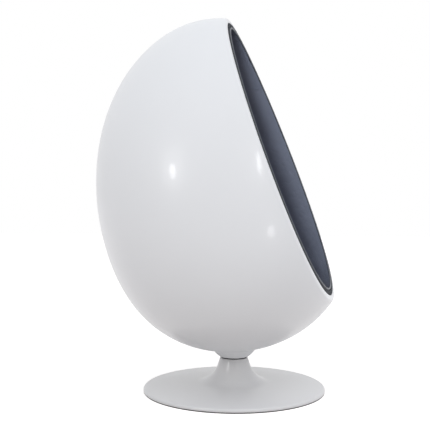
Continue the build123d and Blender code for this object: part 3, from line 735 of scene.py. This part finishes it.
def panel_edges(points, normals, kind):
    """Distances along the wall to the panel's seams and to the mouth."""
    x, y, z = np.moveaxis(points, -1, 0)
    half = SEAM_GAP / 2
    mouth = along_wall(behind_opening(points) - DRESSING_DEPTH - FIT_GAP, normals, OUTWARD)
    if kind == "crown":
        return [along_wall(z - CROWN_SEAM_HEIGHT - half, normals, UPRIGHT)], mouth
    seams = [
        along_wall(CROWN_SEAM_HEIGHT - half - z, normals, UPRIGHT),
        along_wall(z - BOARD_TOP - FIT_GAP, normals, UPRIGHT),
    ]
    if kind == "back":
        seams += [along_wall(BACK_PANEL_HALF_WIDTH - side * x, normals, ACROSS) for side in (-1, 1)]
        return seams, mouth
    side = -1 if kind == "left" else 1
    inner_edge = np.where(y > 0, BACK_PANEL_HALF_WIDTH + SEAM_GAP, half)
    seams.append(along_wall(side * x - inner_edge, normals, ACROSS))
    return seams, mouth


SEAM_ROLL = 0.004
SEAM_SINK = 0.002
MOUTH_ROLL = 0.004
MOUTH_SINK = 0.0015
HOLLOW_DEPTH = 0.0012
LINING_CREASE_DEPTH = 0.0011
LINING_CREASE_WIDTH = 0.16
PULL_DEPTH = 0.0009
PULL_REACH = 0.03
LINING_BACK = LINING_OUTER + 0.0004
PANEL_RINGS = 84
PANEL_SPOKES = 440
RING_BUNCHING = 1.7
WIDEST_SWING = 2.4
SWING_STEP = 0.04
EDGE_HALVINGS = 22


def sunk(distance, roll, sink):
    """How deep the face lies at a distance from an edge that rolls under."""
    share = np.clip(1 - distance / roll, 0, 1)
    return sink * (1 - np.sqrt(1 - share**2))


def lining_panel(name, kind, toward, node):
    """Foam panel round toward on the shell's wall, rolled under at its edges and faintly creased."""
    aim = unit(np.array(toward) - CENTRE)
    first = unit(np.cross(aim, [0.3, 0.2, 1.0]))
    second = np.cross(aim, first)
    angles = ring_angles(PANEL_SPOKES)
    outward = np.cos(angles)[:, None] * first + np.sin(angles)[:, None] * second

    def on_wall(swing, inset):
        """Points on the wall along the spokes, swung away from the panel's middle."""
        directions = np.cos(swing)[..., None] * aim + np.sin(swing)[..., None] * outward
        return reach_wall(CENTRE, directions, inset)

    def nearest_edge(swing):
        points = on_wall(swing, LINING_INNER)
        seams, mouth = panel_edges(points, wall_normals(points, LINING_INNER), kind)
        return np.min([*seams, mouth], axis=0)

    high = np.full(PANEL_SPOKES, WIDEST_SWING)
    for step in np.linspace(SWING_STEP, WIDEST_SWING, round(WIDEST_SWING / SWING_STEP)):
        outside = nearest_edge(np.full(PANEL_SPOKES, step)) < 0
        high = np.where(outside & (high > step), step, high)
    low = high - SWING_STEP
    for _ in range(EDGE_HALVINGS):
        middle = (low + high) / 2
        inside = nearest_edge(middle) > 0
        low, high = np.where(inside, middle, low), np.where(inside, high, middle)
    shares = 1 - (1 - np.linspace(0, 1, PANEL_RINGS + 1)[1:]) ** RING_BUNCHING
    face = on_wall(shares[:, None] * low, LINING_INNER)
    normals = wall_normals(face, LINING_INNER)
    seams, mouth = panel_edges(face, normals, kind)
    seam = np.min(seams, axis=0)
    depth = sunk(seam, SEAM_ROLL, SEAM_SINK) + sunk(mouth, MOUTH_ROLL, MOUTH_SINK)
    broad = roughness_at(face * [1, 1, 0.6], 7.0, 1)
    creases = np.abs(roughness_at(face * [1, 1, 1.6], 16.0, 2))
    pulls = roughness_at(face, 55.0, 3, 2) * np.exp(-np.maximum(seam, 0) / PULL_REACH)
    depth += HOLLOW_DEPTH * np.clip(broad + 0.4, 0, 2)
    depth += LINING_CREASE_DEPTH * np.clip(LINING_CREASE_WIDTH - creases, 0, 1) / LINING_CREASE_WIDTH
    depth += PULL_DEPTH * np.clip(pulls + 0.3, 0, 1.5)
    face = face + depth[..., None] * normals
    back = on_wall(np.linspace(1, 0, 7)[:-1, None] * low, LINING_BACK)
    middle_back = reach_wall(CENTRE, aim[None, :], LINING_BACK)[0]
    panel = loft(name, [*face, *back], tips=(face[0].mean(axis=0), middle_back))
    return dress(panel, "pod", LINING, "lining_leatherette", node)


def linings():
    lining_panel("crown_lining", "crown", (0, 0.10, 1.19), "lining_crown")
    lining_panel("back_lining", "back", (0, 0.42, 0.66), "lining_back")
    lining_panel("left_lining", "left", (-0.38, 0.06, 0.64), "lining_left")
    lining_panel("right_lining", "right", (0.38, 0.06, 0.64), "lining_right")


# ---- Cushions ------------------------------------------------------------------------------------

WELD_DISTANCE = 2e-5
CUSHION_VOXEL = 0.006
CUSHION_SHRINK = 0.006
FILLING_PRESSURE = 4.0
FILLING_CAP = 0.008
FILLING_FRAMES = 20
HELD_WIDTH = 0.007


def remeshed(node, name):
    """Even quad copy of a CAD cushion, drawn in a little along its normals."""
    mesh = frame["nodes"][node].data.copy()
    welded = bmesh.new()
    welded.from_mesh(mesh)
    bmesh.ops.remove_doubles(welded, verts=welded.verts, dist=WELD_DISTANCE)
    welded.to_mesh(mesh)
    welded.free()
    rough = placed(name + "_rough", mesh)
    remesh = rough.modifiers.new("remesh", "REMESH")
    remesh.mode = "VOXEL"
    remesh.voxel_size = CUSHION_VOXEL
    obj = placed(name, baked_mesh(rough))
    bpy.data.objects.remove(rough)
    points, normals = vertex_arrays(obj)
    for _ in range(4):
        points = smoothed(obj, points)
    move_vertices(obj, points - CUSHION_SHRINK * normals)
    return obj


def baked_mesh(obj):
    """The object's mesh as its modifiers leave it."""
    graph = bpy.context.evaluated_depsgraph_get()
    return bpy.data.meshes.new_from_object(obj.evaluated_get(graph), depsgraph=graph)


def vertex_arrays(obj):
    count = len(obj.data.vertices)
    points, normals = np.empty(count * 3), np.empty(count * 3)
    obj.data.vertices.foreach_get("co", points)
    obj.data.vertex_normals.foreach_get("vector", normals)
    return points.reshape(-1, 3), normals.reshape(-1, 3)


def move_vertices(obj, points):
    obj.data.vertices.foreach_set("co", points.ravel())
    obj.data.update()


def smoothed(obj, points):
    """Each point moved halfway to the mean of its neighbours."""
    edges = np.empty(len(obj.data.edges) * 2, int)
    obj.data.edges.foreach_get("vertices", edges)
    edges = edges.reshape(-1, 2)
    total = np.zeros_like(points)
    number = np.zeros(len(points))
    for a, b in ((0, 1), (1, 0)):
        np.add.at(total, edges[:, a], points[edges[:, b]])
        np.add.at(number, edges[:, a], 1)
    return (points + total / number[:, None]) / 2


def nearest_on(paths, points):
    """Distance from each point to the nearest seam, and the place along it."""
    joined = np.concatenate(paths)
    tree = KDTree(len(joined))
    for i, p in enumerate(joined):
        tree.insert(p, i)
    tree.balance()
    found = [tree.find(p) for p in points]
    return np.array([f[2] for f in found]), np.array([f[1] for f in found])


def stuffed(obj, seams):
    """The cover held at its seams and blown up by its filling, no point moving past FILLING_CAP."""
    points, _ = vertex_arrays(obj)
    distance, _ = nearest_on(seams, points)
    held = obj.vertex_groups.new(name="held")
    held.add([int(i) for i in np.where(distance < HELD_WIDTH)[0]], 1.0, "REPLACE")
    cloth = obj.modifiers.new("filling", "CLOTH")
    settings = cloth.settings
    settings.quality = 5
    settings.mass = 0.3
    settings.tension_stiffness = settings.compression_stiffness = settings.shear_stiffness = 9
    settings.bending_stiffness = 0.4
    settings.use_pressure = True
    settings.uniform_pressure_force = FILLING_PRESSURE
    settings.effector_weights.gravity = 0
    settings.vertex_group_mass = "held"
    cloth.collision_settings.use_collision = False
    cloth.point_cache.frame_end = FILLING_FRAMES
    for number in range(1, FILLING_FRAMES + 1):
        bpy.context.scene.frame_set(number)
    blown = np.empty(len(points) * 3)
    mesh = baked_mesh(obj)
    mesh.vertices.foreach_get("co", blown)
    bpy.data.meshes.remove(mesh)
    obj.modifiers.remove(cloth)
    obj.vertex_groups.clear()
    bpy.context.scene.frame_set(1)
    move = blown.reshape(-1, 3) - points
    length = np.linalg.norm(move, axis=1)[:, None]
    move *= np.minimum(1, FILLING_CAP / np.maximum(length, 1e-9))
    move_vertices(obj, points + move)


def subdivided(obj):
    finer = obj.modifiers.new("finer", "SUBSURF")
    finer.levels = finer.render_levels = 1
    mesh = baked_mesh(obj)
    obj.modifiers.remove(finer)
    obj.data = mesh
    mesh.polygons.foreach_set("use_smooth", [True] * len(mesh.polygons))


PUCKER_DEPTH, PUCKER_REACH = 0.0011, 0.030
# Spacing of the puckers, as shares of the seams' whole length
PUCKER_SHARES = (0.021, 0.034, 0.055, 0.013)
GROOVE_DEPTH, GROOVE_WIDTH = 0.0016, 0.006
DENT_DEPTH = 0.0016
DENT_MARGIN = 0.02
CREASE_DEPTH, CREASE_WIDTH = 0.0005, 0.1
PLUMP_REACH = 0.16


def gathered(obj, seams, seed, plump):
    """Puckers at the seams and slow dents between them; plump swells the face to the front."""
    points, normals = vertex_arrays(obj)
    distance, place = nearest_on(seams, points)
    rng = np.random.default_rng(seed)
    total = sum(len(path) for path in seams)
    waves = np.zeros(len(points))
    for share in PUCKER_SHARES:
        turns = np.round(1 / share) * tau / total
        waves += np.sin(place * turns + rng.uniform(0, tau))
    pucker = PUCKER_DEPTH * np.clip(waves / 2 + 0.4, 0, 1.5) * np.exp(-distance / PUCKER_REACH)
    groove = GROOVE_DEPTH * np.exp(-((distance / GROOVE_WIDTH) ** 2))
    dent = DENT_DEPTH * np.clip(roughness_at(points, 9.0, seed) + 0.3, 0, 1.5)
    creases = np.abs(roughness_at(points, 22.0, seed + 1, 2))
    crease = CREASE_DEPTH * np.clip(CREASE_WIDTH - creases, 0, 1) / CREASE_WIDTH
    inward = pucker + groove + (dent + crease) * np.clip(distance / DENT_MARGIN, 0, 1)
    swell = np.sin(np.clip(distance / PLUMP_REACH, 0, 1) * pi / 2)
    inward -= plump * swell * np.clip(-normals[:, 1], 0, 1)
    move_vertices(obj, points - inward[:, None] * normals)


SEAM_POINTS = 420
INSIDE_Y, PAD_MIDDLE_Y = 0.03, 0.02


def resampled(path):
    """Closed path with its points evenly spread."""
    closed = np.vstack([path, path[:1]])
    length = np.concatenate([[0], np.cumsum(np.linalg.norm(np.diff(closed, axis=0), axis=1))])
    places = np.linspace(0, length[-1], SEAM_POINTS, endpoint=False)
    return np.stack([np.interp(places, length, closed[:, k]) for k in range(3)], -1)


def face_tree(obj):
    """Search tree of the piece's faces."""
    mesh = obj.data
    return BVHTree.FromPolygons([v.co for v in mesh.vertices], [tuple(p.vertices) for p in mesh.polygons])


def onto_surface(obj, path, lift):
    """The path laid on the piece, lifted off it, with the surface's directions there."""
    tree = face_tree(obj)
    places, normals = [], []
    for point in path:
        place, normal, _, _ = tree.find_nearest(Vector(point))
        places.append(place)
        normals.append(normal)
    places, normals = np.array(places), np.array(normals)
    for _ in range(3):
        normals = (np.roll(normals, 1, 0) + normals + np.roll(normals, -1, 0)) / 3
    normals = unit(normals)
    return places + lift * normals, normals


def wall_y(z, inset, direction):
    """Y where the drawn-in egg's wall crosses the middle plane at height z."""
    starts = np.stack([0 * z, 0 * z + INSIDE_Y, z], -1)
    rays = np.broadcast_to(np.array([0, direction, 0.0]), starts.shape)
    return reach_wall(starts, rays, inset)[..., 1]


def wall_x(y, z, inset):
    """Half width of the drawn-in egg at y, z."""
    starts = np.stack([0 * z, y, z], -1)
    return reach_wall(starts, np.broadcast_to(ACROSS, starts.shape), inset)[..., 0]


def level_seam(obj, height):
    """Outline of a piece where a level plane cuts it, from inside its middle."""
    tree = face_tree(obj)
    points = []
    for a in ring_angles(SEAM_POINTS):
        place, _, _, _ = tree.ray_cast(Vector((0, PAD_MIDDLE_Y, height)), Vector((cos(a), sin(a), 0)))
        points.append(place)
    return resampled(np.array(points))


# Share of the back cushion's thickness at shares of its height
BACK_SWELL = ((0, 0.45), (0.05, 0.75), (0.2, 0.97), (0.5, 1), (0.8, 0.93), (0.95, 0.68), (1, 0.40))


def front_seam():
    """Edge round the front face of the back cushion."""
    along = np.linspace(0.01, 0.99, 60)
    share = np.interp(along, *zip(*BACK_SWELL))
    z = BACK_BOTTOM + along * BACK_CUSHION_HEIGHT
    back, front = wall_y(z, BACK_INSET, 1), wall_y(z, BACK_INSET, -1)
    corner_y = back - BACK_CORNER_SHARE * (back - front)
    corner_x = wall_x(corner_y, z, BACK_INSET)
    side = BACK_CUSHION_SIDE * share
    right = np.stack([corner_x - side / 2, corner_y - side, z], -1)
    face_y = back - (back - corner_y) * (1 - share) - BACK_CUSHION_THICKNESS * share
    ends = []
    across = np.linspace(1, -1, 40)
    for k in (-1, 0):
        corner = right[k]
        bowed = corner[1] + (1 - across**2) * (face_y[k] - corner[1])
        ends.append(np.stack([across * corner[0], bowed, np.full_like(across, corner[2])], -1))
    left = right * [-1, 1, 1]
    path = np.vstack([right, ends[0][1:-1], left[::-1], ends[1][::-1][1:-1]])
    return resampled(path)


STITCH_ASIDE = 0.0055
STITCH_SIZES = {"Spacing": 0.0056, "Stitch length": 0.0038, "Thickness": 0.0011}


def stitch_tree():
    """Oval stitches set out evenly along the edges of an object, and its inputs' identifiers."""
    tree = bpy.data.node_groups.new("stitches", "GeometryNodeTree")
    tree.interface.new_socket("Geometry", in_out="INPUT", socket_type="NodeSocketGeometry")
    kinds = {**dict.fromkeys(STITCH_SIZES, "NodeSocketFloat"), "Thread": "NodeSocketMaterial"}
    names = {}
    for name, kind in kinds.items():
        names[name] = tree.interface.new_socket(name, in_out="INPUT", socket_type=kind).identifier
    tree.interface.new_socket("Geometry", in_out="OUTPUT", socket_type="NodeSocketGeometry")
    given = tree.nodes.new("NodeGroupInput").outputs
    add = partial(add_node, tree)
    line = add("GeometryNodeMeshToCurve", {"Mesh": given["Geometry"]})
    line = add("GeometryNodeResampleCurve", {"Curve": line, "Length": given["Spacing"]}, mode="LENGTH")
    half_length = add("ShaderNodeMath", {0: given["Stitch length"], 1: 0.5}, operation="MULTIPLY")
    half_width = add("ShaderNodeMath", {0: given["Thickness"], 1: 0.5}, operation="MULTIPLY")
    size = add("ShaderNodeCombineXYZ", {"X": half_length, "Y": half_width, "Z": half_width})
    tangent = add("GeometryNodeInputTangent")
    turn = add("FunctionNodeAlignRotationToVector", {"Vector": tangent}, axis="X")
    bead = add("GeometryNodeMeshUVSphere", {"Segments": 6, "Rings": 4, "Radius": 1.0})
    placing = {"Points": line, "Instance": bead, "Rotation": turn, "Scale": size}
    row = add("GeometryNodeInstanceOnPoints", placing)
    row = add("GeometryNodeRealizeInstances", {"Geometry": row})
    row = add("GeometryNodeSetShadeSmooth", {"Geometry": row})
    row = add("GeometryNodeSetMaterial", {"Geometry": row, "Material": given["Thread"]})
    add("NodeGroupOutput", {"Geometry": row})
    return tree, names


def stitch_row(name, path, tree, names):
    """A closed row of stitches along the path, as a plain mesh."""
    count = len(path)
    mesh = bpy.data.meshes.new(name)
    mesh.from_pydata([tuple(p) for p in path], [(i, (i + 1) % count) for i in range(count)], [])
    obj = placed(name, mesh)
    sewn = obj.modifiers.new("sewn", "NODES")
    sewn.node_group = tree
    for key, value in {**STITCH_SIZES, "Thread": THREAD}.items():
        sewn[names[key]] = value
    mesh = baked_mesh(obj)
    obj.modifiers.remove(sewn)
    obj.data = mesh
    return dress(obj, "pod", THREAD, "cushion_leatherette")


LOW_SEAM_RISE = 0.008
BACK_PLUMP = 0.016
PIPING_RADIUS = 0.0028
PIPING_LIFT = 0.0012
STITCH_LIFT = 0.0003


def cushion(name, node, seams_of, seed, plump, tree, names):
    """Filled cover with piping and two rows of stitches along each of its seams."""
    obj = remeshed(node, name)
    seams = seams_of(obj)
    stuffed(obj, seams)
    subdivided(obj)
    gathered(obj, seams, seed, plump)
    dress(obj, "pod", CUSHION, "cushion_leatherette", node)
    for number, seam in enumerate(seams):
        path, normals = onto_surface(obj, seam, PIPING_LIFT)
        for _ in range(2):
            path = (np.roll(path, 1, 0) + 2 * path + np.roll(path, -1, 0)) / 4
        radius = PIPING_RADIUS * uneven(len(path), 0.05, seed + number)
        welt = tube(f"{name}_piping_{number}", path, radius, normals)
        dress(welt, "pod", CUSHION, "cushion_leatherette")
        aside = STITCH_ASIDE * unit(np.cross(np.roll(path, -1, 0) - np.roll(path, 1, 0), normals))
        for side, offset in (("inner", -aside), ("outer", aside)):
            row, _ = onto_surface(obj, path + offset, STITCH_LIFT)
            stitch_row(f"{name}_stitches_{number}_{side}", row, tree, names)


def cushions():
    sewing = stitch_tree()
    heights = (SEAT_SEAM_HEIGHT, SEAT_BOTTOM + LOW_SEAM_RISE)
    cushion("seat_pad", "seat_cushion", lambda obj: [level_seam(obj, z) for z in heights], 31, 0.0, *sewing)
    cushion("back_pad", "back_cushion", lambda obj: [front_seam()], 47, BACK_PLUMP, *sewing)


# ---- Stage ---------------------------------------------------------------------------------------

CAMERA_AZIMUTH = radians(-78.43)
CAMERA_DISTANCE = 2.5
CAMERA_HEIGHT = 0.6137
CAMERA_YAW = radians(1.405)
CAMERA_PITCH = radians(-0.827)
FOCAL_PIXELS = 753.2
PHOTO_PIXELS = 430
HALF_PIXEL = 0.5 / PHOTO_PIXELS
SENSOR = 36.0


def point_along(obj, place, look):
    """Stand the camera or a lamp at a place, facing along look."""
    obj.location = place
    obj.rotation_mode = "QUATERNION"
    obj.rotation_quaternion = look.to_track_quat("-Z", "Y")


def camera():
    data = bpy.data.cameras.new("camera")
    data.sensor_width = SENSOR
    data.lens = SENSOR * FOCAL_PIXELS / PHOTO_PIXELS
    data.shift_x = -HALF_PIXEL
    data.shift_y = HALF_PIXEL
    obj = placed("camera", data)
    place = Vector((sin(CAMERA_AZIMUTH), -cos(CAMERA_AZIMUTH), 0)) * CAMERA_DISTANCE
    place.z = CAMERA_HEIGHT
    heading = CAMERA_AZIMUTH + CAMERA_YAW
    look = Vector((-sin(heading), cos(heading), 0)) * cos(CAMERA_PITCH)
    look.z = sin(CAMERA_PITCH)
    point_along(obj, place, look)
    bpy.context.scene.camera = obj


def lamp(name, place, target, size, power, colour=(1, 1, 1)):
    data = bpy.data.lights.new(name, "AREA")
    data.shape = "DISK"
    data.size = size
    data.energy = power
    data.color = colour
    obj = placed(name, data)
    point_along(obj, place, Vector(target) - Vector(place))
    return obj


# Soft light from all round: the direction it comes from, its narrowness and its strength
DOME = (
    ((0.0, 0.0, 1.0), 0.0, 0.46),
    ((0.0, 0.0, 1.0), 5.0, 0.63),
    ((-0.42, -0.36, 0.83), 16.0, 1.3),
    ((-0.80, 0.10, 0.60), 24.0, 0.20),
    ((-0.95, -0.20, 0.02), 3.0, -0.52),
    ((-0.10, -0.80, 0.60), 3.0, 0.52),
    ((-0.55, -0.80, 0.10), 4.0, 0.16),
    ((-0.20, 1.00, 0.15), 3.0, 0.34),
    ((-0.10, -1.00, 0.10), 3.0, -0.10),
    ((0.80, 0.10, 0.60), 3.0, -0.22),
)
DOME_TINT = (0.968, 1.0, 1.055)
FLOOR_REACH = 12.0
FLOOR_COLOUR = (0.61, 0.575, 0.555)
FLOOR_GLOW = 0.7


def seen_rays(tree):
    """One for rays that see the ground: the camera's, mirrored ones and those through glass."""
    rays = tree.nodes.new("ShaderNodeLightPath").outputs
    total = rays["Is Camera Ray"]
    for name in ("Is Glossy Ray", "Is Transmission Ray"):
        total = add_node(tree, "ShaderNodeMath", {0: total, 1: rays[name]}, operation="ADD", use_clamp=True)
    return total


def world():
    """White to the rays that see the ground, a soft uneven dome to the rest."""
    scene_world = bpy.data.worlds.new("studio")
    scene_world.use_nodes = True
    bpy.context.scene.world = scene_world
    add = partial(add_node, scene_world.node_tree)
    scene_world.node_tree.nodes.clear()
    place = add("ShaderNodeTexCoord", output="Generated")
    total = None
    for direction, power, strength in DOME:
        toward = Vector(direction).normalized()
        facing = add("ShaderNodeVectorMath", {0: place, 1: toward}, "Value", operation="DOT_PRODUCT")
        ahead = add("ShaderNodeMath", {0: facing, 1: 0.0001}, operation="MAXIMUM")
        narrow = add("ShaderNodeMath", {0: ahead, 1: power}, operation="POWER")
        tint = [strength * c for c in DOME_TINT]
        lobe = add("ShaderNodeVectorMath", {0: tint, "Scale": narrow}, operation="SCALE")
        total = lobe if total is None else add("ShaderNodeVectorMath", {0: total, 1: lobe})
    dome = add("ShaderNodeBackground", {"Color": total})
    white = add("ShaderNodeBackground", {"Color": (1, 1, 1, 1)})
    mix = add("ShaderNodeMixShader", {0: seen_rays(scene_world.node_tree), 1: dome, 2: white})
    add("ShaderNodeOutputWorld", {"Surface": mix})


def floor():
    """Pale floor that fades into the white ground and keeps the chair's shadow."""
    corners = [(x * FLOOR_REACH, y * FLOOR_REACH, 0) for x, y in ((-1, -1), (1, -1), (1, 1), (-1, 1))]
    obj = new_object("floor", corners, [(0, 1, 2, 3)], smooth=False)
    material = bpy.data.materials.new("pale_floor")
    material.use_nodes = True
    add = partial(add_node, material.node_tree)
    material.node_tree.nodes.clear()
    matt = add("ShaderNodeBsdfDiffuse", {"Color": (*FLOOR_COLOUR, 1)})
    seen = seen_rays(material.node_tree)
    strength = add("ShaderNodeMath", {0: seen, 1: FLOOR_GLOW}, operation="MULTIPLY")
    glow = add("ShaderNodeEmission", {"Strength": strength})
    total = add("ShaderNodeAddShader", {0: matt, 1: glow})
    add("ShaderNodeOutputMaterial", {"Surface": total})
    obj.data.materials.append(material)


def studio():
    world()
    floor()
    camera()
    shell_side = (-0.42, 0.09, 0.70)
    lamp("side_lamp", (-3.1, 2.05, 1.85), shell_side, 0.40, 11.0)
    lamp("side_glow", (-3.0, 1.98, 1.92), shell_side, 1.3, 11.0)
    front = lamp("front_lamp", (-2.75, -2.07, 2.17), (-0.38, -0.15, 0.73), 0.24, 11.0)
    front.data.shape = "ELLIPSE"
    front.data.size_y = 0.7
    lamp("sill_lamp", (-2.35, -2.45, 0.14), (-0.40, -0.17, 0.50), 0.34, 5.0)
    cool = (0.9, 0.99, 1.04)
    inside = lamp("inside_lamp", (-2.60, -0.18, 0.95), (0.36, -0.15, 0.72), 0.42, 120.0, cool)
    # Strong enough to show the dark linings beside the mouth, so it is kept off the white shell
    lit = bpy.data.collections.new("lit_inside")
    for name in ("crown_lining", "left_lining", "right_lining", "rim_facing"):
        lit.objects.link(bpy.data.objects[name])
    inside.light_linking.receiver_collection = lit
    bpy.context.scene.view_settings.view_transform = "Standard"


finish_nodes()
pod_shell()
pod_boss()
base_shell()
rim_band()
rim_welt()
rim_facing()
linings()
cushions()
studio()
